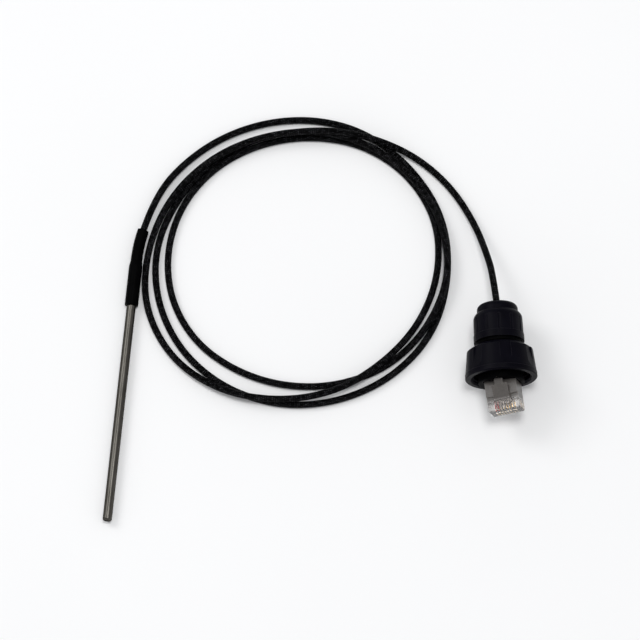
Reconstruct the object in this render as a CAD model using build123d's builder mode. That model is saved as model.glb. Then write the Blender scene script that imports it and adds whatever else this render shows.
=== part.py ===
from build123d import *
import math
import os

os.makedirs("parts", exist_ok=True)

# Probe: a stainless sheath that lies along +Y, its closed tip towards -Y
sheath_radius = 1.65
sheath_wall = 0.35
sheath_reach = 81.0
tip_round = 0.9
grip_step = 0.18
grip_show = 0.3
tip_wall = 1.2
element_radius = 1.1
element_length = 10.0
element_round = 0.3
lead_radius = 0.15
insulator_radius = 1.25
insulator_length = 12.0
lead_gap = 4.0
lead_hole_clearance = 0.05
splice_width = 0.9
splice_height = 1.4
splice_length = 6.0
core_radius = 0.3
core_spacing_x = 1.3
core_spacing_z = 0.84
liner_wall = 0.1
liner_clearance = 0.02
jacket_insert = 10.0

# Shrink sleeve: grips the sheath, steps down and bends with the cable
sleeve_radius = 2.45
sleeve_neck_radius = 2.1
sleeve_grip_length = 15.0
sleeve_step_length = 2.0
sleeve_neck_length = 12.0
sleeve_neck_bend = 57.0
sleeve_edge_round = 0.25

# Cable
cable_radius = 1.225
coil_x = 58.0
coil_y = 48.6
coil_height = 4.9
coil_edge = 0.8
tail_crossing_lift = 2.45
tail_straight_run = 12.0
lead_first_run = 10.0
first_bearing = 270

# Coupling ring: measured back from its rim along the connector's axis
ring_rim_radius = 13.05
ring_band = 1.8
ring_band_step = 0.12
ring_pad_radius = 12.0
ring_neck_radius = 9.3
ring_length = 12.0
ring_shoulder = 10.2
ring_rim_chamfer = 0.35
ring_mouth_radius = 10.5
ring_mouth_bevel = 0.6
ring_land = 5.8
ring_undercut = 0.4
ring_undercut_taper = 0.7
ring_floor = 9.7
ring_scoops = 7
ring_scoop_width = 4.1
ring_scoop_drop = 2.1
ring_scoop_turn = 83.0
ring_scoop_gap = 0.3

# Connector shell: the moulded body that everything else sits on
shell_radius = 7.45
shell_rear = 21.6
shell_collar_radius = 8.2
shell_collar_length = 1.1
shell_flange_radius = 9.9
shell_flange_length = 1.7
shell_front_radius = 8.3
shell_front_reach = 1.8
shell_chamber_radius = 5.9
shell_web = 2.0
shell_cable_hole_radius = 1.6
shell_edge = 0.3
ring_radial_gap = 0.25
ring_axial_gap = 0.3
seal_ring_length = 1.2

# Gland: domed nut, slotted claw and rubber grommet
nut_front_radius = 9.18
nut_grip_radius = 9.0
nut_shoulder_radius = 8.9
nut_front = 13.8
nut_band = 2.5
nut_band_step = 0.12
nut_grip_length = 6.0
nut_slope_length = 2.6
nut_slope_bulge = 0.3
nut_dome_radius = 7.45
nut_dome_length = 3.2
nut_dome_round = 1.9
nut_end_wall = 1.8
nut_thread_gap = 0.1
nut_mouth_gap = 0.3
nut_flutes = 12
nut_flute_radius = 0.9
nut_flute_depth = 0.3
claw_gap = 0.1
claw_tip_radius = 5.4
claw_wall = 0.9
claw_base = 1.0
claw_slots = 10
claw_slot_width = 0.9
grommet_gap = 0.1
grommet_length = 9.0
grommet_taper = 1.4

# Modular plug: an eight-way clear plug, its latch on the upper side
plug_width = 11.68
plug_nose_height = 6.6
plug_length = 21.46
plug_reach = 12.4
plug_drop = 0.6
plug_middle_rise = 0.8
plug_rear_rise = 1.9
plug_nose_length = 5.5
plug_front_length = 12.0
plug_edge = 0.4
plug_clearance = 0.15
plug_cavity_width = 9.4
plug_cavity_height = 4.6
plug_cavity_length = 12.4
plug_channel_width = 0.8
plug_channel_height = 0.95
plug_channel_front = 0.9
contact_pitch = 1.02
contact_count = 8
contact_thickness = 0.35
contact_slot_width = 0.5
contact_length = 5.2
contact_front = 0.7
contact_recess = 0.45
contact_clearance = 0.02
latch_width = 5.8
latch_lever_width = 3.0
latch_root = 0.7
latch_root_length = 1.5
latch_shoulder = 9.0
latch_length = 14.4
latch_thickness = 0.9
latch_shoulder_rise = 2.0
latch_tip_rise = 3.1
latch_slot_clearance = 0.35
plug_pocket_width = 4.4
plug_pocket_length = 1.4
plug_pocket_depth = 1.3
plug_pocket_front = 7.0
jacket_end_reach = 6.0
core_bend_radius = 2.0
core_lead_in = 1.0
jacket_core_spacing = 1.0

# Where the connector lies: its rim centre on the table and the way it points
connector_x = 136.08
connector_y = 8.3
connector_heading = 8.0
connector_tilt = 2.9
plug_turn = 4.0
plug_roll = 18.4

overrun = 1.0

# Probe frame: the sheath's centre line lies at the sleeve's radius above the table
sheath_length = sheath_reach + sleeve_grip_length
sheath_bore = sheath_radius - sheath_wall
neck_turn = math.degrees(sleeve_neck_length / sleeve_neck_bend)
neck_start = sheath_reach + sleeve_grip_length + sleeve_step_length
neck_shift = sleeve_neck_bend * (1 - math.cos(math.radians(neck_turn)))
neck_reach = sleeve_neck_bend * math.sin(math.radians(neck_turn))
neck_side = neck_shift + sleeve_neck_radius * math.cos(math.radians(neck_turn))
probe_right = max(sleeve_radius, neck_side)
probe_x = (sleeve_radius - probe_right) / 2
probe_length = neck_start + neck_reach + sleeve_neck_radius * math.sin(math.radians(neck_turn))
probe_tip = (probe_x, -probe_length / 2, sleeve_radius)
probe = Plane(origin=probe_tip, x_dir=(1, 0, 0), z_dir=(0, 1, 0))
neck_plane = probe.offset(neck_start)
neck_hinge = Axis(neck_plane.origin + Vector(sleeve_neck_bend, 0, 0), (0, 0, -1))

# Connector frame: it rests on its ring's band, its plug end tilted up a little
heading = math.radians(connector_heading)
tilt = math.radians(connector_tilt)
connector_z = ring_rim_radius * math.cos(tilt) + ring_band * math.sin(tilt)


def tilted_plane(origin, turn):
    """A plane across the way that leaves its origin at this heading, tilted as the connector is."""
    ahead = (math.sin(turn) * math.cos(tilt), -math.cos(turn) * math.cos(tilt), math.sin(tilt))
    return Plane(origin=origin, x_dir=(math.cos(turn), math.sin(turn), 0), z_dir=ahead)


seat = tilted_plane((connector_x, connector_y, connector_z), heading)
section = Plane(origin=seat.origin, x_dir=seat.x_dir, z_dir=-seat.y_dir)
spin = Axis(seat.origin, seat.z_dir)
gland_end = nut_front + nut_band + nut_grip_length + nut_slope_length + nut_dome_length

# Plug frame: it turns a little aside from the connector at the jacket's end, and rolls
plug_rear = plug_length - plug_reach
jacket_end = plug_rear - jacket_end_reach
jacket_depth = plug_reach + jacket_end
plug_root = tilted_plane(seat.offset(-jacket_end).origin, heading + math.radians(plug_turn))
plug_seat = Plane(
    origin=plug_root.offset(jacket_depth).origin,
    x_dir=plug_root.x_dir.rotate(Axis((0, 0, 0), plug_root.z_dir), plug_roll),
    z_dir=plug_root.z_dir,
)
plug_side = Plane(origin=plug_seat.origin, x_dir=plug_seat.z_dir, z_dir=-plug_seat.x_dir)


def ways_apart(count, spacing):
    """Centres of a row of count places, spacing apart."""
    return [(k - (count - 1) / 2) * spacing for k in range(count)]


# Sheath: a drawn tube, its tip closed and rounded, turned down where the sleeve grips
with BuildPart() as sheath_tube:
    with BuildSketch(probe):
        Circle(sheath_radius)
    extrude(amount=sheath_length)
    fillet(sheath_tube.faces().sort_by(Axis.Y)[0].edges(), tip_round)
    with BuildSketch(probe.offset(sheath_reach - grip_show)):
        Circle(sheath_radius)
        Circle(sheath_radius - grip_step, mode=Mode.SUBTRACT)
    extrude(amount=sleeve_grip_length + grip_show, mode=Mode.SUBTRACT)
    with BuildSketch(probe.offset(tip_wall)):
        Circle(sheath_bore)
    extrude(amount=sheath_length - tip_wall, mode=Mode.SUBTRACT)
sheath_tube.part.label = "sheath_tube"
export_step(sheath_tube.part, "parts/sheath_tube.step")

# Platinum element: a ceramic body that stands against the tip's inner face
element_start = tip_wall
element_end = element_start + element_length
with BuildPart() as sensing_element:
    with BuildSketch(probe.offset(element_start)):
        Circle(element_radius)
    extrude(amount=element_length)
    fillet(sensing_element.edges(), element_round)
sensing_element.part.label = "sensing_element"
export_step(sensing_element.part, "parts/sensing_element.step")

# Filler: the compound packed round the element
with BuildPart() as thermal_filler:
    with BuildSketch(probe.offset(element_start)):
        Circle(sheath_bore)
        Circle(element_radius, mode=Mode.SUBTRACT)
    extrude(amount=element_length)
thermal_filler.part.label = "thermal_filler"
export_step(thermal_filler.part, "parts/thermal_filler.step")

# Insulator: a twin-bore ceramic rod that keeps the element's leads apart
lead_places = [(x, 0) for x in ways_apart(2, core_spacing_x)]
with BuildPart() as lead_insulator:
    with BuildSketch(probe.offset(element_end)):
        Circle(insulator_radius)
        with Locations(*lead_places):
            Circle(lead_radius + lead_hole_clearance, mode=Mode.SUBTRACT)
    extrude(amount=insulator_length)
lead_insulator.part.label = "lead_insulator"
export_step(lead_insulator.part, "parts/lead_insulator.step")

# Bare leads: from the element through the insulator to the splices
splice_start = element_end + insulator_length + lead_gap
with BuildPart() as element_leads:
    with BuildSketch(probe.offset(element_end)):
        with Locations(*lead_places):
            Circle(lead_radius)
    extrude(amount=insulator_length + lead_gap)
element_leads.part.label = "element_leads"
export_step(element_leads.part, "parts/element_leads.step")

# Splices: each joins one lead to its two cores
with BuildPart() as lead_splices:
    with BuildSketch(probe.offset(splice_start)):
        with Locations(*lead_places):
            SlotOverall(splice_height, splice_width, rotation=90)
    extrude(amount=splice_length)
lead_splices.part.label = "lead_splices"
export_step(lead_splices.part, "parts/lead_splices.step")

# Cores: four insulated conductors, in two pairs
core_start = splice_start + splice_length
jacket_start = sheath_length - jacket_insert
core_names = ("red_core_a", "red_core_b", "white_core_a", "white_core_b")
core_places = [
    (x, z)
    for x in ways_apart(2, core_spacing_x)
    for z in ways_apart(2, core_spacing_z)
]
for core_name, core_place in zip(core_names, core_places):
    with BuildPart() as sheath_core:
        with BuildSketch(probe.offset(core_start)):
            with Locations(core_place):
                Circle(core_radius)
        extrude(amount=jacket_start - core_start)
    sheath_core.part.label = core_name
    export_step(sheath_core.part, f"parts/{core_name}.step")

# Liner: a thin sleeve that keeps the splices and cores off the sheath
liner_start = element_end + insulator_length
liner_radius = sheath_bore - liner_clearance
with BuildPart() as core_liner:
    with BuildSketch(probe.offset(liner_start)):
        Circle(liner_radius)
        Circle(liner_radius - liner_wall, mode=Mode.SUBTRACT)
    extrude(amount=jacket_start - liner_start)
core_liner.part.label = "core_liner"
export_step(core_liner.part, "parts/core_liner.step")

# End seal: resin between the cable's jacket and the sheath's open end
with BuildPart() as end_seal:
    with BuildSketch(probe.offset(jacket_start)):
        Circle(sheath_bore)
        Circle(cable_radius, mode=Mode.SUBTRACT)
    extrude(amount=jacket_insert)
end_seal.part.label = "end_seal"
export_step(end_seal.part, "parts/end_seal.step")

# Cable root: the cable from inside the sheath to the sleeve's mouth
with BuildPart() as cable_root:
    with BuildSketch(probe.offset(jacket_start)):
        Circle(cable_radius)
    extrude(amount=neck_start - jacket_start)
    with BuildSketch(neck_plane):
        Circle(cable_radius)
    revolve(axis=neck_hinge, revolution_arc=neck_turn)
cable_root.part.label = "cable_root"
export_step(cable_root.part, "parts/cable_root.step")

# Shrink sleeve: tight on the sheath, then tapered down to the cable and bent with it
with BuildPart() as shrink_sleeve:
    with BuildSketch(probe.offset(sheath_reach)):
        Circle(sleeve_radius)
    extrude(amount=sleeve_grip_length)
    fillet(shrink_sleeve.faces().sort_by(Axis.Y)[0].edges(), sleeve_edge_round)
    with BuildSketch(probe.offset(sheath_reach + sleeve_grip_length)):
        Circle(sleeve_radius)
    with BuildSketch(neck_plane):
        Circle(sleeve_neck_radius)
    loft()
    with BuildSketch(neck_plane):
        Circle(sleeve_neck_radius)
    revolve(axis=neck_hinge, revolution_arc=neck_turn)
    with BuildSketch(probe.offset(sheath_reach)):
        Circle(sheath_radius - grip_step)
    extrude(amount=sleeve_grip_length, mode=Mode.SUBTRACT)
    with BuildSketch(probe.offset(sheath_reach)):
        Circle(cable_radius)
    extrude(amount=sleeve_grip_length + sleeve_step_length, mode=Mode.SUBTRACT)
    with BuildSketch(neck_plane):
        Circle(cable_radius)
    revolve(axis=neck_hinge, revolution_arc=neck_turn, mode=Mode.SUBTRACT)
shrink_sleeve.part.label = "shrink_sleeve"
export_step(shrink_sleeve.part, "parts/shrink_sleeve.step")

# Coil: how far each turn's centre line reaches from the coil's middle, at sixteen
# bearings clockwise from west; each row is one turn, from the table upwards
turn_reach = (
    (58.0, 56.4, 55.1, 54.3, 54.6, 54.9, 54.6, 55.2, 54.8, 55.3, 54.6, 54.2, 54.0, 53.7, 53.3, 52.5),
    (51.6, 49.1, 48.1, 48.3, 49.2, 50.7, 52.7, 54.1, 53.8, 52.6, 50.8, 48.3, 47.0, 46.7, 47.7, 47.8),
    (47.0, 46.5, 45.7, 46.1, 48.0, 50.3, 52.2, 53.0, 51.3, 49.6, 48.2, 50.1, 52.1, 54.6, 56.8, 56.5),
    (54.1, 52.4, 50.6, 49.6, 50.6, 54.2),
)
turn_stations = len(turn_reach[0])
station_angle = 360 / turn_stations
coil_join = 5


def bearing_point(reach, station, height):
    """A point at a station's bearing from the coil's middle."""
    bearing = math.radians(first_bearing + station * station_angle)
    return (
        coil_x + reach * math.sin(bearing),
        coil_y + reach * math.cos(bearing),
        height,
    )


def turns_at(station):
    """The reach of every turn that passes a station inside the coil."""
    first = 0 if station >= coil_join else 1
    return [row[station] for row in turn_reach[first:] if station < len(row)]


outer_edge = [
    bearing_point(max(turns_at(k)) + cable_radius, k, 0)[:2] for k in range(turn_stations)
]
inner_edge = [
    bearing_point(min(turns_at(k)) - cable_radius, k, 0)[:2] for k in range(turn_stations)
]
with BuildPart() as cable_coil:
    with BuildSketch():
        with BuildLine():
            Spline(*outer_edge, periodic=True)
        make_face()
        with BuildLine():
            Spline(*inner_edge, periodic=True)
        make_face(mode=Mode.SUBTRACT)
    extrude(amount=coil_height)
    chamfer(cable_coil.faces().sort_by(Axis.Z)[-1].edges(), coil_edge)
cable_coil.part.label = "cable_coil"
export_step(cable_coil.part, "parts/cable_coil.step")

# Cable's free stretches: straight runs joined by arcs as large as the runs allow
corner_share = 0.45


def route_radii(name, points):
    """The arc radius at each inner point of a route."""
    corners = [Vector(*p) for p in points]
    radii = []
    for before, here, after in zip(corners, corners[1:], corners[2:]):
        turn = math.radians((here - before).get_angle(after - here))
        shorter = min((here - before).length, (after - here).length)
        radii.append(corner_share * shorter / math.tan(turn / 2))
    print(name, "radii", [round(r, 1) for r in radii])
    return radii


def compare_volume(name, tube, path_length):
    """Print a tube's volume beside its section times its length."""
    expected = math.pi * cable_radius**2 * path_length
    print(name, "length", round(path_length, 1), "volume share", round(tube.volume / expected, 4))


neck_mouth = (probe_x + neck_shift, probe_tip[1] + neck_start + neck_reach, sleeve_radius)
neck_way = Vector(math.sin(math.radians(neck_turn)), math.cos(math.radians(neck_turn)), 0)
lead_route = [
    neck_mouth,
    tuple(Vector(*neck_mouth) + neck_way * lead_first_run),
    bearing_point(56.9, 1.4, 1.8),
    bearing_point(55.8, 2.3, cable_radius),
    bearing_point(55.3, 3.2, cable_radius),
    bearing_point(55.7, 4.0, cable_radius),
    bearing_point(55.4, 4.7, cable_radius),
]
with BuildPart() as cable_lead:
    with BuildLine() as lead_path:
        FilletPolyline(*lead_route, radius=route_radii("cable_lead", lead_route))
    with BuildSketch(lead_path.line ^ 0):
        Circle(cable_radius)
    sweep()
compare_volume("cable_lead", cable_lead.part, lead_path.wires()[0].length)
cable_lead.part.label = "cable_lead"
export_step(cable_lead.part, "parts/cable_lead.step")

gland_mouth = seat.offset(-gland_end).origin
gland_run = seat.offset(-gland_end - tail_straight_run).origin
tail_route = [
    bearing_point(54.7, 5.07, cable_radius + tail_crossing_lift),
    (97.5, 93.6, cable_radius + 0.6),
    (112.5, 82.6, cable_radius),
    (121.3, 69.3, 2.3),
    (127.4, 56.5, 7.0),
    tuple(gland_run),
    tuple(gland_mouth),
]
with BuildPart() as cable_tail:
    with BuildLine() as tail_path:
        FilletPolyline(*tail_route, radius=route_radii("cable_tail", tail_route))
    with BuildSketch(tail_path.line ^ 0):
        Circle(cable_radius)
    sweep()
compare_volume("cable_tail", cable_tail.part, tail_path.wires()[0].length)
cable_tail.part.label = "cable_tail"
export_step(cable_tail.part, "parts/cable_tail.step")

# Coupling ring: a flared shell that turns on the connector, banded at its rim and
# scooped for the fingers behind it
lip_radius = shell_radius + ring_radial_gap
ring_front_radius = ring_rim_radius - ring_band_step
ring_pad_start = ring_band + ring_band_step
ring_scoop_start = ring_pad_start + ring_scoop_gap
ring_scoop_slope = math.degrees(math.atan(ring_scoop_drop / (ring_length - ring_scoop_start)))
undercut_radius = ring_mouth_radius + ring_undercut
with BuildPart(seat) as coupling_ring:
    with BuildSketch(section):
        with BuildLine():
            Polyline(
                (lip_radius, -ring_length),
                (ring_neck_radius, -ring_length),
                (ring_pad_radius, -ring_shoulder),
                (ring_front_radius, -ring_pad_start),
                (ring_rim_radius, -ring_band),
                (ring_rim_radius, 0),
                (ring_mouth_radius, 0),
                (ring_mouth_radius, -ring_land),
                (undercut_radius, -ring_land - ring_undercut_taper),
                (undercut_radius, -ring_floor),
                (lip_radius, -ring_floor),
                close=True,
            )
        make_face()
    revolve(axis=spin)
    mouth_face = coupling_ring.faces().sort_by(spin)[-1]
    chamfer(mouth_face.edges().sort_by(SortBy.RADIUS)[-1], ring_rim_chamfer)
    mouth_edge = coupling_ring.faces().sort_by(spin)[-1].edges().sort_by(SortBy.RADIUS)[0]
    chamfer(mouth_edge, ring_mouth_bevel)
    with Locations((0, 0, -ring_scoop_start)):
        with PolarLocations(ring_front_radius, ring_scoops, start_angle=ring_scoop_turn):
            Box(
                ring_rim_radius,
                ring_scoop_width,
                ring_length + overrun,
                rotation=(0, ring_scoop_slope, 0),
                align=(Align.MIN, Align.CENTER, Align.MAX),
                mode=Mode.SUBTRACT,
            )
coupling_ring.part.label = "coupling_ring"
export_step(coupling_ring.part, "parts/coupling_ring.step")

# Shell: threaded rear barrel, collar, flange and the front barrel that holds the plug
collar_back = nut_front
collar_front = collar_back - shell_collar_length
flange_back = ring_floor - ring_axial_gap
flange_front = flange_back - shell_flange_length
web_back = plug_rear + shell_web
plug_top = plug_nose_height / 2 - plug_drop
plug_bottom = -plug_nose_height / 2 - plug_drop
middle_top = plug_top + plug_middle_rise
rear_top = plug_top + plug_rear_rise
latch_slot_height = latch_tip_rise + latch_thickness + latch_slot_clearance
with BuildPart(seat) as connector_shell:
    with BuildSketch(section):
        with BuildLine():
            Polyline(
                (0, -shell_rear),
                (shell_radius, -shell_rear),
                (shell_radius, -collar_back),
                (shell_collar_radius, -collar_back),
                (shell_collar_radius, -collar_front),
                (shell_radius, -collar_front),
                (shell_radius, -flange_back),
                (shell_flange_radius, -flange_back),
                (shell_flange_radius, -flange_front),
                (shell_front_radius, -flange_front),
                (shell_front_radius, shell_front_reach),
                (0, shell_front_reach),
                close=True,
            )
        make_face()
    revolve(axis=spin)
    chamfer(connector_shell.faces().sort_by(spin)[-1].edges(), shell_edge)
    with BuildSketch(seat.offset(-shell_rear)):
        Circle(shell_chamber_radius)
    extrude(amount=shell_rear - web_back, mode=Mode.SUBTRACT)
    with BuildSketch(seat.offset(-web_back)):
        Circle(shell_cable_hole_radius)
    extrude(amount=shell_web + overrun, mode=Mode.SUBTRACT)
    with BuildSketch(plug_seat.offset(-plug_length)):
        with Locations((0, (rear_top + plug_bottom) / 2)):
            Rectangle(
                plug_width + 2 * plug_clearance,
                rear_top - plug_bottom + 2 * plug_clearance,
            )
        with Locations((0, plug_top + latch_slot_height / 2)):
            Rectangle(latch_lever_width + 2 * latch_slot_clearance, latch_slot_height)
    extrude(amount=plug_length, mode=Mode.SUBTRACT)
connector_shell.part.label = "connector_shell"
export_step(connector_shell.part, "parts/connector_shell.step")

# Face seal: a flat rubber ring on the flange
with BuildPart() as face_seal:
    with BuildSketch(seat.offset(-flange_front)):
        Circle(shell_flange_radius)
        Circle(shell_front_radius, mode=Mode.SUBTRACT)
    extrude(amount=seal_ring_length)
    fillet(face_seal.faces().sort_by(spin)[-1].edges().sort_by(SortBy.RADIUS)[-1], seal_ring_length / 2)
face_seal.part.label = "face_seal"
export_step(face_seal.part, "parts/face_seal.step")

# Gland nut: a banded, fluted nut with a domed end round the cable
nut_band_end = nut_front + nut_band
nut_shoulder = nut_band_end + nut_grip_length
nut_step = nut_shoulder + nut_slope_length
nut_cavity_end = gland_end - nut_end_wall
nut_bore = shell_radius + nut_thread_gap
cone_start = shell_rear + nut_mouth_gap
with BuildPart(seat) as gland_nut:
    with BuildSketch(section):
        with BuildLine():
            Polyline(
                (nut_bore, -nut_front),
                (nut_front_radius, -nut_front),
                (nut_front_radius, -nut_band_end),
                (nut_grip_radius, -nut_band_end - nut_band_step),
                (nut_shoulder_radius, -nut_shoulder),
            )
            ThreePointArc(
                (nut_shoulder_radius, -nut_shoulder),
                (
                    (nut_shoulder_radius + nut_dome_radius) / 2 + nut_slope_bulge,
                    -(nut_shoulder + nut_step) / 2 - nut_slope_bulge,
                ),
                (nut_dome_radius, -nut_step),
            )
            Polyline(
                (nut_dome_radius, -nut_step),
                (nut_dome_radius, -gland_end),
                (shell_cable_hole_radius, -gland_end),
                (shell_cable_hole_radius, -nut_cavity_end),
                (claw_tip_radius, -nut_cavity_end),
                (nut_bore, -cone_start),
                (nut_bore, -nut_front),
            )
        make_face()
    revolve(axis=spin)
    dome_edge = gland_nut.faces().sort_by(spin)[0].edges().sort_by(SortBy.RADIUS)[-1]
    fillet(dome_edge, nut_dome_round)
    flute_reach = nut_grip_radius + nut_flute_radius - nut_flute_depth
    with Locations((0, 0, -nut_band_end - nut_band_step)):
        with PolarLocations(flute_reach, nut_flutes):
            Cylinder(
                nut_flute_radius,
                nut_grip_length,
                align=(Align.CENTER, Align.CENTER, Align.MAX),
                mode=Mode.SUBTRACT,
            )
gland_nut.part.label = "gland_nut"
export_step(gland_nut.part, "parts/gland_nut.step")

# Claw: a base ring on the shell's rear face, with fingers that the nut's cone closes
claw_radius = nut_bore - claw_gap
claw_end = nut_cavity_end - claw_gap
claw_bore = shell_chamber_radius
with BuildPart(seat) as clamping_claw:
    with BuildSketch(section):
        with BuildLine():
            Polyline(
                (claw_bore, -shell_rear),
                (claw_radius - claw_gap, -shell_rear),
                (claw_tip_radius - claw_gap, -claw_end),
                (claw_tip_radius - claw_wall, -claw_end),
                (claw_bore, -shell_rear - claw_base),
                close=True,
            )
        make_face()
    revolve(axis=spin)
    with Locations((0, 0, -shell_rear - claw_base)):
        with PolarLocations(claw_radius / 2, claw_slots):
            Box(
                claw_radius,
                claw_slot_width,
                claw_end - shell_rear,
                align=(Align.CENTER, Align.CENTER, Align.MAX),
                mode=Mode.SUBTRACT,
            )
clamping_claw.part.label = "clamping_claw"
export_step(clamping_claw.part, "parts/clamping_claw.step")

# Grommet: the rubber squeezed on to the cable
grommet_radius = shell_chamber_radius - grommet_gap
grommet_back = claw_end
grommet_taper_start = shell_rear + claw_base
with BuildPart() as gland_seal:
    with BuildSketch(section):
        with BuildLine():
            Polyline(
                (cable_radius, -grommet_back),
                (claw_tip_radius - claw_wall - grommet_gap, -grommet_back),
                (grommet_radius, -grommet_taper_start),
                (grommet_radius, -grommet_back + grommet_length),
                (cable_radius, -grommet_back + grommet_length),
                close=True,
            )
        make_face()
    revolve(axis=spin)
gland_seal.part.label = "gland_seal"
export_step(gland_seal.part, "parts/gland_seal.step")

# Cable end: the jacket through the gland and into the plug, cut square to the plug
with BuildPart() as cable_end:
    with BuildSketch(seat.offset(-gland_end)):
        Circle(cable_radius)
    extrude(amount=gland_end - jacket_end + overrun)
    split(bisect_by=plug_root, keep=Keep.BOTTOM)
cable_end.part.label = "cable_end"
export_step(cable_end.part, "parts/cable_end.step")

# Latch: a sprung lever moulded on the plug, wide at its root and narrow at its end
with BuildPart() as latch:
    with BuildSketch(plug_side):
        with BuildLine():
            Polyline(
                (-latch_root, plug_top),
                (-latch_root, plug_top + latch_thickness / 2),
                (-latch_root - latch_root_length, plug_top + latch_thickness),
                (-latch_shoulder, plug_top + latch_shoulder_rise + latch_thickness),
                (-latch_length, plug_top + latch_tip_rise + latch_thickness),
                (-latch_length, plug_top + latch_tip_rise),
                (-latch_shoulder, plug_top + latch_shoulder_rise),
                (-latch_root - latch_root_length, plug_top),
                close=True,
            )
        make_face()
    extrude(amount=latch_width / 2, both=True)
    with BuildSketch(plug_seat.offset(-latch_length)):
        with Locations((0, plug_top + latch_tip_rise)):
            Rectangle(plug_width, plug_width)
            Rectangle(latch_lever_width, plug_width, mode=Mode.SUBTRACT)
    extrude(amount=latch_length - latch_shoulder, mode=Mode.SUBTRACT)

# Plug body: clear, in two steps up from its nose, with a cavity, eight core channels,
# contact slots and a pocket under the latch
channel_depth = plug_length - plug_cavity_length
contact_places = ways_apart(contact_count, contact_pitch)
core_underside = -plug_drop - core_radius
contact_height = core_underside - contact_clearance - plug_bottom - contact_recess
with BuildPart() as modular_plug:
    with BuildSketch(plug_seat.offset(-plug_length)):
        with Locations((0, (plug_top + plug_bottom) / 2)):
            Rectangle(plug_width, plug_nose_height)
    extrude(amount=plug_length)
    with BuildSketch(plug_seat.offset(-plug_length)):
        with Locations((0, (rear_top + plug_bottom) / 2)):
            Rectangle(plug_width, rear_top - plug_bottom)
    extrude(amount=plug_length - plug_front_length)
    with BuildSketch(plug_seat.offset(-plug_front_length)):
        with Locations((0, (middle_top + plug_bottom) / 2)):
            Rectangle(plug_width, middle_top - plug_bottom)
    extrude(amount=plug_front_length - plug_nose_length)
    chamfer(modular_plug.faces().sort_by(spin)[-1].edges(), plug_edge)
    add(latch.part)
    with BuildSketch(plug_seat.offset(-plug_length)):
        Rectangle(plug_cavity_width, plug_cavity_height)
    extrude(amount=plug_cavity_length, mode=Mode.SUBTRACT)
    with BuildSketch(plug_seat.offset(-channel_depth)):
        with Locations(*[(x, -plug_drop) for x in contact_places]):
            Rectangle(plug_channel_width, plug_channel_height)
    extrude(amount=channel_depth - plug_channel_front, mode=Mode.SUBTRACT)
    with BuildSketch(plug_seat.offset(-contact_front - contact_length)):
        with Locations(*[(x, (plug_bottom - plug_drop) / 2) for x in contact_places]):
            Rectangle(contact_slot_width, -plug_drop - plug_bottom)
    extrude(amount=contact_length, mode=Mode.SUBTRACT)
    with BuildSketch(plug_seat.offset(-plug_pocket_front - plug_pocket_length)):
        with Locations((0, middle_top - plug_pocket_depth / 2)):
            Rectangle(plug_pocket_width, plug_pocket_depth)
    extrude(amount=plug_pocket_length, mode=Mode.SUBTRACT)
modular_plug.part.label = "modular_plug"
export_step(modular_plug.part, "parts/modular_plug.step")

# Contact blades: eight gilt plates that stand in the slots under the cores
with BuildPart() as contact_blades:
    with BuildSketch(plug_seat.offset(-contact_front - contact_length)):
        blade_middle = plug_bottom + contact_recess + contact_height / 2
        with Locations(*[(x, blade_middle) for x in contact_places]):
            Rectangle(contact_thickness, contact_height)
    extrude(amount=contact_length)
contact_blades.part.label = "contact_blades"
export_step(contact_blades.part, "parts/contact_blades.step")

# Plug cores: fanned from the jacket's end into their channels, two red and two white
core_front = plug_channel_front + contact_front
plug_core_names = ("red_plug_core_a", "red_plug_core_b", "white_plug_core_a", "white_plug_core_b")
jacket_places = [
    (x, y)
    for x in ways_apart(2, jacket_core_spacing)
    for y in ways_apart(2, -jacket_core_spacing)
]
for core_name, core_place, contact_x in zip(plug_core_names, jacket_places, contact_places):
    with BuildPart() as plug_core:
        with BuildLine(plug_seat) as core_path:
            FilletPolyline(
                (*core_place, -jacket_depth),
                (*core_place, -jacket_depth + core_lead_in),
                (contact_x, -plug_drop, -channel_depth),
                (contact_x, -plug_drop, -core_front),
                radius=core_bend_radius,
            )
        with BuildSketch(core_path.line ^ 0):
            Circle(core_radius)
        sweep()
    plug_core.part.label = core_name
    export_step(plug_core.part, f"parts/{core_name}.step")

sheath_middle = (probe_tip[1] + tip_round, probe_tip[1] + sheath_reach)
print("sheath axis x", round(probe_x, 4), "bare from and to", sheath_middle)
print("face seal front", seat.offset(-flange_front + seal_ring_length).origin)
print("plug nose", plug_seat.origin, "plug across", plug_seat.x_dir)
print("neck turn", round(neck_turn, 2), "connector height", round(connector_z, 4))
print("rim centre", seat.origin, "mating way", seat.z_dir)
print("gland mouth", gland_mouth, "neck mouth", neck_mouth, "probe length", round(probe_length, 3))
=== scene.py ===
import math

import bpy
from mathutils import Matrix, Vector


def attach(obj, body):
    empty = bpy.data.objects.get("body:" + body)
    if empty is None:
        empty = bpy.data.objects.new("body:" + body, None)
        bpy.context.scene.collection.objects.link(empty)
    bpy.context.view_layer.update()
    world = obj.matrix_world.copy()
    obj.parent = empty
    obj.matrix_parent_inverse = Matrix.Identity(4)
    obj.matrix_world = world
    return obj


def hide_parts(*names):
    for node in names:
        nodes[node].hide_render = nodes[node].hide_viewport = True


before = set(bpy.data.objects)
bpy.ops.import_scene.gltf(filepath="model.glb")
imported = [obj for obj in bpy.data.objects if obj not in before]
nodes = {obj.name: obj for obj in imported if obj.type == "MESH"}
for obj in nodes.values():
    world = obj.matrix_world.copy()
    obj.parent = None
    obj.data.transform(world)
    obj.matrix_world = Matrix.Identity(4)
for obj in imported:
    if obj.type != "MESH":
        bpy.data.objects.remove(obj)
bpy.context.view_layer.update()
MM = 0.001


# ---------------------------------------------------------------- camera

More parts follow.
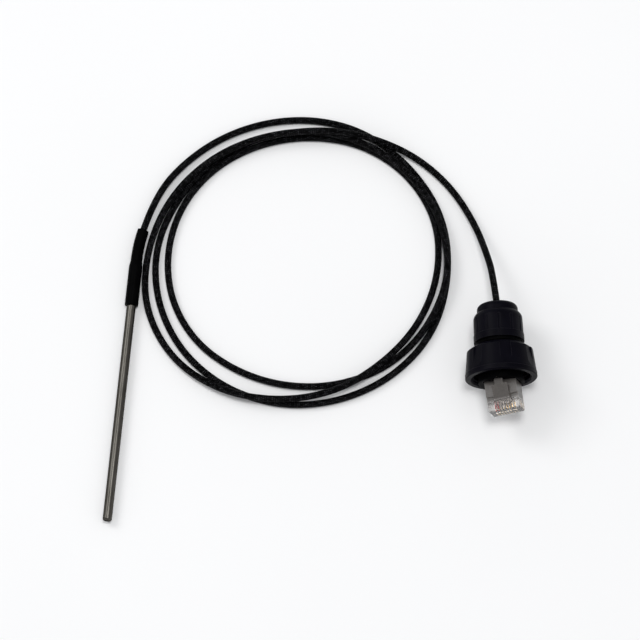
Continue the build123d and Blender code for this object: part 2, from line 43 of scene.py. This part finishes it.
ELEVATION = math.radians(74.0)
TURN = math.radians(5.52)
DISTANCE = 1.6
FIELD = 0.23358  # width in metres that the picture spans at the target
SENSOR = 36
FAR_CLIP = 20
ahead = Vector((-math.sin(TURN), math.cos(TURN), 0))
right = Vector((math.cos(TURN), math.sin(TURN), 0))
up = ahead * math.sin(ELEVATION) + Vector((0, 0, math.cos(ELEVATION)))
back = -ahead * math.cos(ELEVATION) + Vector((0, 0, math.sin(ELEVATION)))
target = Vector((68.51, 27.77, 0)) * MM
camera_data = bpy.data.cameras.new("camera")
camera_data.sensor_width = SENSOR
camera_data.lens = SENSOR * DISTANCE / FIELD
camera_data.clip_end = FAR_CLIP
camera = bpy.data.objects.new("camera", camera_data)
bpy.context.scene.collection.objects.link(camera)
place = target + back * DISTANCE
camera.matrix_world = Matrix((
    (right.x, up.x, back.x, place.x),
    (right.y, up.y, back.y, place.y),
    (right.z, up.z, back.z, place.z),
    (0, 0, 0, 1),
))
bpy.context.scene.camera = camera


# ---------------------------------------------------------------- helpers


def link(obj):
    bpy.context.scene.collection.objects.link(obj)
    return obj


def mesh_object(name, verts, faces):
    """A smooth-shaded object made from points and faces."""
    mesh = bpy.data.meshes.new(name)
    mesh.from_pydata(verts, [], faces)
    mesh.update()
    for polygon in mesh.polygons:
        polygon.use_smooth = True
    return link(bpy.data.objects.new(name, mesh))


def new_material(name):
    material = bpy.data.materials.new(name)
    material.use_nodes = True
    tree = material.node_tree
    return material, tree, tree.nodes["Principled BSDF"]


def add(tree, kind, **settings):
    node = tree.nodes.new(kind)
    for key, value in settings.items():
        setattr(node, key, value)
    return node


def feed(tree, value, socket):
    """Gives a socket its value: a link from another node's output, or a constant."""
    if isinstance(value, bpy.types.NodeSocket):
        tree.links.new(value, socket)
    else:
        socket.default_value = value


def math_node(tree, operation, *values):
    node = add(tree, "ShaderNodeMath", operation=operation)
    for socket, value in zip(node.inputs, values):
        feed(tree, value, socket)
    return node.outputs[0]


def noise(tree, vector, scale, detail=3.0, rough=0.5):
    node = add(tree, "ShaderNodeTexNoise")
    node.inputs["Scale"].default_value = scale
    node.inputs["Detail"].default_value = detail
    node.inputs["Roughness"].default_value = rough
    tree.links.new(vector, node.inputs["Vector"])
    return node.outputs["Fac"]


def ramp(tree, value, low, high, at=(0.35, 0.65)):
    """The colour low up to the first place in at, going over to high at the second."""
    node = add(tree, "ShaderNodeValToRGB")
    for element, position, colour in zip(node.color_ramp.elements, at, (low, high)):
        element.position = position
        element.color = (*colour, 1)
    tree.links.new(value, node.inputs["Fac"])
    return node.outputs["Color"]


def spread(tree, value, low, high, at=(0.0, 1.0)):
    """The number low up to the first value in at, going over to high at the second."""
    node = add(tree, "ShaderNodeMapRange")
    node.inputs["From Min"].default_value = at[0]
    node.inputs["From Max"].default_value = at[1]
    node.inputs["To Min"].default_value = low
    node.inputs["To Max"].default_value = high
    tree.links.new(value, node.inputs["Value"])
    return node.outputs["Result"]


def bump(tree, bsdf, height, distance, strength):
    node = add(tree, "ShaderNodeBump")
    node.inputs["Distance"].default_value = distance
    node.inputs["Strength"].default_value = strength
    tree.links.new(height, node.inputs["Height"])
    tree.links.new(node.outputs["Normal"], bsdf.inputs["Normal"])


def coordinates(tree, stretch=(1, 1, 1)):
    source = add(tree, "ShaderNodeTexCoord")
    mapping = add(tree, "ShaderNodeMapping")
    mapping.inputs["Scale"].default_value = stretch
    tree.links.new(source.outputs["Object"], mapping.inputs["Vector"])
    return mapping.outputs["Vector"]


EDGE_SAMPLES = 6
EDGE_GAIN = 9.0  # how soon a turned normal counts as a full edge


def edge_mask(tree, reach):
    """1 along sharp edges and 0 on open faces, from how far rounding turns the normal."""
    rounded = add(tree, "ShaderNodeBevel", samples=EDGE_SAMPLES)
    rounded.inputs["Radius"].default_value = reach
    flat = add(tree, "ShaderNodeNewGeometry")
    dot = add(tree, "ShaderNodeVectorMath", operation="DOT_PRODUCT")
    tree.links.new(rounded.outputs["Normal"], dot.inputs[0])
    tree.links.new(flat.outputs["Normal"], dot.inputs[1])
    turned = math_node(tree, "SUBTRACT", 1.0, dot.outputs["Value"])
    lift = math_node(tree, "MULTIPLY", turned, EDGE_GAIN)
    return math_node(tree, "MINIMUM", lift, 1.0)


def mixed(tree, share, base, other):
    """The colour base, going over to other as share goes from 0 to 1."""
    node = add(tree, "ShaderNodeMixRGB", blend_type="MIX")
    tree.links.new(share, node.inputs["Fac"])
    tree.links.new(base, node.inputs["Color1"])
    feed(tree, other, node.inputs["Color2"])
    return node.outputs["Color"]


# ---------------------------------------------------------------- materials
# Colours are linear. Noise scales are per metre, bump depths in metres.

TONE_SCALE = 160  # a plastic's drift in tone
GLOSS_SCALE = 90  # and in gloss
GLOSS_DRIFT = 0.06
PLASTIC_EDGE = 0.22 * MM  # how far in from an edge a plastic is lightened, partly wear and partly a painted edge highlight

STREAK_STRETCH = (9000, 120, 9000)
PATCH_STRETCH = (260, 60, 260)
STREAK_SHARE = 0.6
PATCH_SHARE = 0.4

METAL_GLOSS_DRIFT = 0.08

BRAID_STARTS = 6  # strands each way round the jacket
BRAID_PITCH = 3.2 * MM
YARN_SHARE = 0.45

# The plug's nose and the way that it points, in the shared frame
PLUG_NOSE = Vector((138.865, -3.776, 13.752)) * MM
PLUG_WAY = Vector((0.207645, -0.976895, 0.050593)).normalized()
FROST_STARTS = 3.6 * MM  # behind the nose
FROST_FULL = 4.4 * MM
# How far in from an edge, and how strongly, the plug's edges are painted: lighter at the back as
# painted glints, darker at the nose as painted dark outlines.
PLUG_EDGE = 0.16 * MM
PLUG_EDGE_LIGHT_SHARE = 0.7


def plastic(name, low, high, roughness, grain, depth, specular=0.3, edge_wear_and_painted_light=None):
    """A moulded plastic: a fine grain, a faint drift in tone and gloss, and lighter edges that are
    partly wear and partly a painted highlight.
    """
    material, tree, bsdf = new_material(name)
    where = coordinates(tree)
    colour = ramp(tree, noise(tree, where, TONE_SCALE, detail=4), low, high)
    # Edges go over to a lighter colour: partly rubbed wear, partly a painted highlight where a
    # rounded edge would catch the light.
    if edge_wear_and_painted_light is not None:
        colour = mixed(tree, edge_mask(tree, PLASTIC_EDGE), colour, (*edge_wear_and_painted_light, 1))
    tree.links.new(colour, bsdf.inputs["Base Color"])
    gloss = noise(tree, where, GLOSS_SCALE, detail=3)
    duller = spread(tree, gloss, roughness - GLOSS_DRIFT, roughness + GLOSS_DRIFT)
    tree.links.new(duller, bsdf.inputs["Roughness"])
    bsdf.inputs["Specular IOR Level"].default_value = specular
    bump(tree, bsdf, noise(tree, where, grain, detail=2, rough=0.6), depth, strength=0.6)
    return material


def drawn_steel():
    """Drawn stainless tube: long fine streaks along Y, an uneven polish and a dull rim."""
    material, tree, bsdf = new_material("drawn_steel")
    streaks = noise(tree, coordinates(tree, STREAK_STRETCH), scale=1.0, detail=5, rough=0.6)
    patches = noise(tree, coordinates(tree, PATCH_STRETCH), scale=1.0, detail=3)
    mix = math_node(
        tree,
        "ADD",
        math_node(tree, "MULTIPLY", streaks, STREAK_SHARE),
        math_node(tree, "MULTIPLY", patches, PATCH_SHARE),
    )
    # The steel's colour is kept far darker than bright stainless: a painted dark reflection, as of
    # dark surroundings.
    colour = ramp(tree, mix, (0.05, 0.047, 0.041), (0.128, 0.121, 0.109))
    tree.links.new(colour, bsdf.inputs["Base Color"])
    tree.links.new(spread(tree, mix, 0.22, 0.38), bsdf.inputs["Roughness"])
    bsdf.inputs["Metallic"].default_value = 1.0
    bsdf.inputs["Specular Tint"].default_value = (0.02, 0.02, 0.02, 1)
    bump(tree, bsdf, streaks, distance=0.00001, strength=0.35)
    return material


def metal(name, low, high, roughness):
    """A plain metal with a fine grain and a faint drift in tone and gloss."""
    material, tree, bsdf = new_material(name)
    where = coordinates(tree)
    tone = noise(tree, where, scale=900, detail=3)
    tree.links.new(ramp(tree, tone, low, high), bsdf.inputs["Base Color"])
    gloss = noise(tree, where, scale=1500, detail=2)
    duller = spread(tree, gloss, roughness - METAL_GLOSS_DRIFT, roughness + METAL_GLOSS_DRIFT)
    tree.links.new(duller, bsdf.inputs["Roughness"])
    bsdf.inputs["Metallic"].default_value = 1.0
    grain = noise(tree, where, scale=4000, detail=2)
    bump(tree, bsdf, grain, distance=0.00001, strength=0.4)
    return material


def woven_jacket():
    """Black braid: two crossed sets of strands as diamonds, laid out by length and bearing, with
    painted glints in the colour.
    """
    material, tree, bsdf = new_material("woven_jacket")
    source = add(tree, "ShaderNodeUVMap", uv_map="braid")
    parts = add(tree, "ShaderNodeSeparateXYZ")
    tree.links.new(source.outputs["UV"], parts.inputs["Vector"])
    around = math_node(tree, "MULTIPLY", parts.outputs["X"], 2 * math.pi * BRAID_STARTS)
    along = math_node(tree, "MULTIPLY", parts.outputs["Y"], 2 * math.pi / BRAID_PITCH)
    one = math_node(tree, "SINE", math_node(tree, "ADD", around, along))
    other = math_node(tree, "SINE", math_node(tree, "SUBTRACT", around, along))
    diamonds = math_node(tree, "ABSOLUTE", math_node(tree, "MULTIPLY", one, other))
    yarn = noise(tree, coordinates(tree), scale=2600, detail=3, rough=0.6)
    height = math_node(tree, "ADD", diamonds, math_node(tree, "MULTIPLY", yarn, YARN_SHARE))
    # Bright specks painted into the colour on the diamonds' crowns are painted glints, scattered by
    # noise.
    sheen = noise(tree, coordinates(tree), scale=900, detail=2)
    painted_glints = math_node(tree, "MULTIPLY", diamonds, sheen)
    colour = ramp(tree, painted_glints, (0.0002, 0.0002, 0.0003), (0.09, 0.09, 0.098), (0.36, 0.64))
    tree.links.new(colour, bsdf.inputs["Base Color"])
    tree.links.new(spread(tree, height, 0.66, 0.42), bsdf.inputs["Roughness"])
    bsdf.inputs["Specular IOR Level"].default_value = 0.03
    bump(tree, bsdf, height, distance=0.00016, strength=1.0)
    return material


def clear_plug():
    """Clear moulded polycarbonate: frosted at the back where the latch is, clearer at the nose."""
    material, tree, bsdf = new_material("clear_plug")
    where = coordinates(tree)
    reach = add(tree, "ShaderNodeVectorMath", operation="DOT_PRODUCT")
    tree.links.new(where, reach.inputs[0])
    reach.inputs[1].default_value = PLUG_WAY
    behind = math_node(tree, "SUBTRACT", PLUG_NOSE.dot(PLUG_WAY), reach.outputs["Value"])
    frost = spread(tree, behind, 0.0, 1.0, (FROST_STARTS, FROST_FULL))
    cloud = noise(tree, where, scale=2600, detail=3, rough=0.6)
    front = ramp(tree, cloud, (0.8, 0.77, 0.75), (0.9, 0.87, 0.85))
    rear = ramp(tree, cloud, (0.155, 0.142, 0.131), (0.225, 0.208, 0.194))
    colour = mixed(tree, frost, front, rear)
    # Edges are painted towards a mid grey: a painted highlight on the dark back, a painted dark
    # outline on the clear nose.
    painted_edge_light = math_node(tree, "MULTIPLY", edge_mask(tree, PLUG_EDGE), PLUG_EDGE_LIGHT_SHARE)
    edge_wear_and_painted_light = mixed(tree, painted_edge_light, colour, (0.62, 0.59, 0.57, 1))
    tree.links.new(edge_wear_and_painted_light, bsdf.inputs["Base Color"])
    tree.links.new(spread(tree, frost, 0.05, 0.3), bsdf.inputs["Roughness"])
    tree.links.new(spread(tree, frost, 0.96, 0.55), bsdf.inputs["Transmission Weight"])
    bsdf.inputs["IOR"].default_value = 1.4
    ripple = noise(tree, where, scale=700, detail=3)
    bump(tree, bsdf, ripple, distance=0.00008, strength=0.4)
    return material


def ceramic(name, low, high):
    """A matt fired ceramic with a faint grain."""
    material, tree, bsdf = new_material(name)
    where = coordinates(tree)
    tone = noise(tree, where, scale=2200, detail=4)
    tree.links.new(ramp(tree, tone, low, high), bsdf.inputs["Base Color"])
    gloss = noise(tree, where, scale=1200, detail=3)
    tree.links.new(spread(tree, gloss, 0.45, 0.65), bsdf.inputs["Roughness"])
    grain = noise(tree, where, scale=3000, detail=3)
    bump(tree, bsdf, grain, distance=0.00003, strength=0.5)
    return material


# The ring's and nut's edges are painted lighter, partly as wear and partly as a painted edge
# highlight.
connector_black = plastic(
    "connector_black", (0.0016, 0.0014, 0.0034), (0.0027, 0.0024, 0.0052),
    roughness=0.38, grain=5200, depth=0.00002, specular=0.04, edge_wear_and_painted_light=(0.012, 0.0115, 0.0155),
)
# The shell is painted far darker than the ring and nut, as painted shade in the gap between nut and
# ring where it shows.
shell_black_painted_shade = plastic(
    "shell_black_painted_shade", (0.0006, 0.0006, 0.0008), (0.0012, 0.0012, 0.0017),
    roughness=0.5, grain=5200, depth=0.00002, specular=0.02,
)
claw_black = plastic(
    "claw_black", (0.003, 0.003, 0.004), (0.006, 0.006, 0.007),
    roughness=0.5, grain=4000, depth=0.00003, specular=0.05,
)
shrink_black = plastic(
    "shrink_black", (0.0002, 0.0002, 0.0003), (0.0008, 0.0008, 0.001),
    roughness=0.5, grain=1400, depth=0.00005, specular=0.02,
)
seal_rubber = plastic(
    "seal_rubber", (0.004, 0.004, 0.004), (0.009, 0.009, 0.009),
    roughness=0.75, grain=3200, depth=0.00004, specular=0.2,
)
seal_resin = plastic(
    "seal_resin", (0.008, 0.008, 0.008), (0.02, 0.02, 0.02),
    roughness=0.35, grain=1500, depth=0.00003,
)
liner_film = plastic(
    "liner_film", (0.42, 0.25, 0.08), (0.55, 0.34, 0.12),
    roughness=0.3, grain=900, depth=0.00002, specular=0.5,
)
red_insulation = plastic(
    "red_insulation", (0.5, 0.006, 0.02), (0.62, 0.012, 0.03),
    roughness=0.4, grain=2500, depth=0.00002, specular=0.5,
)
white_insulation = plastic(
    "white_insulation", (0.6, 0.58, 0.55), (0.74, 0.72, 0.69),
    roughness=0.4, grain=2500, depth=0.00002, specular=0.5,
)
steel = drawn_steel()
lead_wire = metal("lead_wire", (0.55, 0.54, 0.5), (0.68, 0.67, 0.63), roughness=0.25)
splice_metal = metal("splice_metal", (0.5, 0.48, 0.44), (0.62, 0.6, 0.56), roughness=0.4)
contact_gold = metal("contact_gold", (0.5, 0.34, 0.12), (0.64, 0.46, 0.19), roughness=0.28)
ceramic_white = ceramic("ceramic_white", (0.72, 0.7, 0.66), (0.84, 0.82, 0.79))
ceramic_grey = ceramic("ceramic_grey", (0.5, 0.48, 0.45), (0.62, 0.6, 0.57))
woven = woven_jacket()
clear = clear_plug()

finishes = {
    "sheath_tube": steel,
    "sensing_element": ceramic_white,
    "thermal_filler": ceramic_grey,
    "lead_insulator": ceramic_white,
    "element_leads": lead_wire,
    "lead_splices": splice_metal,
    "red_core_a": red_insulation,
    "red_core_b": red_insulation,
    "white_core_a": white_insulation,
    "white_core_b": white_insulation,
    "core_liner": liner_film,
    "end_seal": seal_resin,
    "cable_root": shrink_black,
    "shrink_sleeve": shrink_black,
    "cable_lead": woven,
    "cable_coil": woven,
    "cable_tail": woven,
    "cable_end": shrink_black,
    "gland_nut": connector_black,
    "clamping_claw": claw_black,
    "gland_seal": seal_rubber,
    "connector_shell": shell_black_painted_shade,
    "face_seal": seal_rubber,
    "coupling_ring": connector_black,
    "modular_plug": clear,
    "contact_blades": contact_gold,
    "red_plug_core_a": red_insulation,
    "red_plug_core_b": red_insulation,
    "white_plug_core_a": white_insulation,
    "white_plug_core_b": white_insulation,
}
for name, finish in finishes.items():
    slots = nodes[name].data.materials
    slots.clear()
    slots.append(finish)


# ---------------------------------------------------------------- cable
# Sizes are in mm until the curve is made.

CABLE = 1.225  # the cable's radius, and so the height of a strand that lies on the ground
COIL = (58.0, 48.6)  # the coil's middle
FIRST_BEARING = 270  # west, in degrees clockwise from north
STATION = 22.5  # degrees between stations
NECK_HEADING = math.radians(12.06)
NECK_STRAIGHT = 10
CURVE_STEPS = 14
CABLE_SIDES = 20
neck_mouth = (0.8274, 54.7364, 2.45)
gland_mouth = (132.174, 36.0909, 11.7027)
# The course that pulls the cable round the coil: how far each point lies from the coil's
# middle, its height, and its station clockwise from west. The first turn starts and the
# last one ends between stations.
turns = (
    ((56.9, 1.8, 1.4), (55.8, CABLE, 2.3), (55.3, CABLE, 3.2), (55.7, CABLE, 4.1),
     (56.1, CABLE, 5.0), (55.7, CABLE, 6.0), (56.6, CABLE, 7.0), (56.2, CABLE, 8.0),
     (56.9, CABLE, 9.0), (56.1, CABLE, 10.0), (55.3, CABLE, 11.0), (55.1, CABLE, 12.0),
     (54.8, CABLE, 13.0), (54.4, CABLE, 14.0), (53.5, CABLE, 15.0)),
    ((52.4, CABLE, 0.0), (50.4, CABLE, 1.0), (50.0, CABLE, 2.0), (50.0, 2.0, 3.0),
     (50.8, 2.9, 4.0), (51.9, 3.9, 5.0), (53.5, 3.75, 6.0), (55.4, 3.7, 7.0),
     (56.4, 4.3, 8.0), (54.4, 2.4, 9.0), (52.1, CABLE, 10.0), (49.3, CABLE, 11.0),
     (47.5, CABLE, 12.0), (47.1, CABLE, 13.0), (48.1, CABLE, 14.0), (48.4, CABLE, 15.0)),
    ((48.0, CABLE, 0.0), (47.8, CABLE, 1.0), (47.5, CABLE, 2.0), (47.55, CABLE, 3.0),
     (48.8, CABLE, 4.0), (51.4, CABLE, 5.0), (53.2, CABLE, 6.0), (54.0, CABLE, 7.0),
     (52.3, CABLE, 8.0), (50.7, 1.6, 9.0), (50.2, 3.7, 10.0), (51.9, 3.9, 11.0),
     (53.7, 3.7, 12.0), (56.9, 3.9, 13.0), (58.9, CABLE, 14.0), (58.5, CABLE, 15.0)),
    ((55.2, CABLE, 0.0), (52.8, 2.4, 1.0), (50.4, 4.1, 2.0), (49.3, 4.5, 3.0),
     (49.6, 5.8, 4.0), (51.8, 6.0, 4.65), (55.5, 4.0, 5.3)),
)
neck_way = Vector((math.sin(NECK_HEADING), math.cos(NECK_HEADING), 0))
route = [neck_mouth, tuple(Vector(neck_mouth) + neck_way * NECK_STRAIGHT)]
for turn in turns:
    for reach, height, station in turn:
        bearing = math.radians(FIRST_BEARING + station * STATION)
        east, north = reach * math.sin(bearing), reach * math.cos(bearing)
        route.append((COIL[0] + east, COIL[1] + north, height))
route += [
    (99.1, 92.1, 1.825),
    (111.9, 82.4, CABLE),
    (121.5, 69.2, 2.3),
    (127.0, 56.3, 7.0),
    (129.7, 47.7, 11.0),
    gland_mouth,
]


def smooth_path(spots):
    """Points in metres along a smooth curve that the spots, given in mm, pull into shape."""
    curve = bpy.data.curves.new("cable_line", "CURVE")
    curve.dimensions = "3D"
    curve.resolution_u = CURVE_STEPS
    spline = curve.splines.new("NURBS")
    spline.points.add(len(spots) - 1)
    for point, spot in zip(spline.points, spots):
        point.co = (*(c * MM for c in spot), 1)
    spline.order_u = 3
    spline.use_endpoint_u = True
    line = link(bpy.data.objects.new("cable_line", curve))
    bpy.context.view_layer.update()
    points = [v.co.copy() for v in bpy.data.meshes.new_from_object(line).vertices]
    bpy.data.objects.remove(line)
    return points


def tube(name, points, radius, sides):
    """A tube along points, with a map of its bearing and its length in metres."""
    last = len(points) - 1
    ways = [
        (points[min(k + 1, last)] - points[max(k - 1, 0)]).normalized() for k in range(last + 1)
    ]
    normal = ways[0].orthogonal().normalized()
    verts, faces, marks, length = [], [], [], 0.0
    for k, (point, way) in enumerate(zip(points, ways)):
        normal = (normal - way * normal.dot(way)).normalized()
        side = way.cross(normal)
        if k:
            length += (point - points[k - 1]).length
        marks.append(length)
        for j in range(sides):
            angle = 2 * math.pi * j / sides
            verts.append(point + (normal * math.cos(angle) + side * math.sin(angle)) * radius)
    for k in range(last):
        for j in range(sides):
            n = (j + 1) % sides
            faces.append((k * sides + j, k * sides + n, (k + 1) * sides + n, (k + 1) * sides + j))
    faces.append(tuple(reversed(range(sides))))
    faces.append(tuple(last * sides + j for j in range(sides)))
    obj = mesh_object(name, verts, faces)
    uv = obj.data.uv_layers.new(name="braid")
    for face in obj.data.polygons:
        corners = [obj.data.loops[i].vertex_index for i in face.loop_indices]
        wraps = len(corners) == 4 and {v % sides for v in corners} == {0, sides - 1}
        for i, v in zip(face.loop_indices, corners):
            j = v % sides
            if wraps and j == 0:
                j = sides
            uv.data[i].uv = (j / sides, marks[v // sides])
    return obj, length


path = smooth_path(route)
cable, cable_length = tube("cable", path, CABLE * MM, CABLE_SIDES)
cable.data.materials.append(woven)
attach(cable, "probe")
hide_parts("cable_lead", "cable_coil", "cable_tail")


# ---------------------------------------------------------------- ring thread
# Sizes are in mm.

rim_centre = Vector((136.08, 8.3, 13.1244)) * MM
mating = Vector((0.138995, -0.989, 0.050593)).normalized()
CONNECTOR_HEADING = math.radians(8.0)
across = Vector((math.cos(CONNECTOR_HEADING), math.sin(CONNECTOR_HEADING), 0))
over = mating.cross(across)

THREAD_STEPS = 72  # steps to one turn
THREAD_TURNS = 2.9
THREAD_PITCH = 1.5
THREAD_START = -0.9  # from the rim, along the ring's axis
THREAD_FADE = 14  # steps over which the ridge rises at its ends
THREAD_ROOT = 10.54
THREAD_CREST = 9.98
HALF_ROOT = 0.55
HALF_CREST = 0.14


def ring_thread():
    """The coupling ring's inner thread: a ridge wound round its bore, faded out at both ends."""
    count = int(THREAD_STEPS * THREAD_TURNS)
    verts, faces = [], []
    for k in range(count + 1):
        angle = 2 * math.pi * k / THREAD_STEPS
        fade = min(1.0, k / THREAD_FADE, (count - k) / THREAD_FADE)
        middle = THREAD_START - THREAD_PITCH * k / THREAD_STEPS
        tip = THREAD_ROOT - (THREAD_ROOT - THREAD_CREST) * fade
        section = (
            (THREAD_ROOT, -HALF_ROOT),
            (tip, -HALF_CREST),
            (tip, HALF_CREST),
            (THREAD_ROOT, HALF_ROOT),
        )
        for radius, shift in section:
            out = (across * math.cos(angle) - over * math.sin(angle)) * radius * MM
            verts.append(rim_centre + out + mating * (middle + shift) * MM)
    corners = len(section)
    for k in range(count):
        here, there = corners * k, corners * (k + 1)
        for j in range(corners):
            n = (j + 1) % corners
            faces.append((here + j, there + j, there + n, here + n))
    faces.append(tuple(range(corners)))
    faces.append(tuple(corners * count + j for j in reversed(range(corners))))
    obj = mesh_object("ring_thread", verts, faces)
    obj.data.materials.append(connector_black)
    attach(obj, "ring")


ring_thread()


# ---------------------------------------------------------------- floor and light

FLOOR_REACH = 3
FLOOR_DROP = 0.0001  # keeps the floor just clear of what lies on it
SKY_GLOW = 0.5
PAPER_WHITE = 1.0

floor = mesh_object(
    "floor",
    [(x * FLOOR_REACH, y * FLOOR_REACH, 0) for x, y in ((-1, -1), (1, -1), (1, 1), (-1, 1))],
    [(0, 1, 2, 3)],
)
floor.location.z = -FLOOR_DROP
pale, pale_tree, pale_bsdf = new_material("pale_floor")
pale_cloud = noise(pale_tree, coordinates(pale_tree), scale=6, detail=2)
pale_tree.links.new(
    ramp(pale_tree, pale_cloud, (0.955, 0.955, 0.955), (0.97, 0.97, 0.97)),
    pale_bsdf.inputs["Base Color"],
)
pale_bsdf.inputs["Roughness"].default_value = 0.9
pale_bsdf.inputs["Specular IOR Level"].default_value = 0.1
floor.data.materials.append(pale)

# The camera sees white beyond the floor, and the light from there is dimmer.
world = bpy.data.worlds.new("world")
bpy.context.scene.world = world
world.use_nodes = True
sky = world.node_tree
shown = sky.nodes["Background"]
shown.inputs["Color"].default_value = (1, 1, 1, 1)
shown.inputs["Strength"].default_value = PAPER_WHITE
glow = add(sky, "ShaderNodeBackground")
glow.inputs["Color"].default_value = (0.97, 0.98, 1, 1)
glow.inputs["Strength"].default_value = SKY_GLOW
rays = add(sky, "ShaderNodeLightPath")
seen = math_node(sky, "MAXIMUM", rays.outputs["Is Camera Ray"], rays.outputs["Is Transmission Ray"])
either = add(sky, "ShaderNodeMixShader")
sky.links.new(seen, either.inputs["Fac"])
sky.links.new(glow.outputs["Background"], either.inputs[1])
sky.links.new(shown.outputs["Background"], either.inputs[2])
sky.links.new(either.outputs["Shader"], sky.nodes["World Output"].inputs["Surface"])


def lamp(name, spot, size, power):
    """A square lamp, size metres wide, that faces the camera's target."""
    data = bpy.data.lights.new(name, "AREA")
    data.shape = "SQUARE"
    data.size = size
    data.energy = power
    obj = link(bpy.data.objects.new(name, data))
    obj.location = spot
    obj.rotation_euler = (target - Vector(spot)).to_track_quat("-Z", "Y").to_euler()


lamp("key", (-1.1, 0.6, 1.3), size=0.8, power=8)
lamp("fill", (1.2, -0.5, 1.2), size=1.2, power=0.8)
lamp("top", (0.18, 0.1, 1.9), size=0.5, power=12.8)

bpy.context.scene.view_settings.view_transform = "Standard"
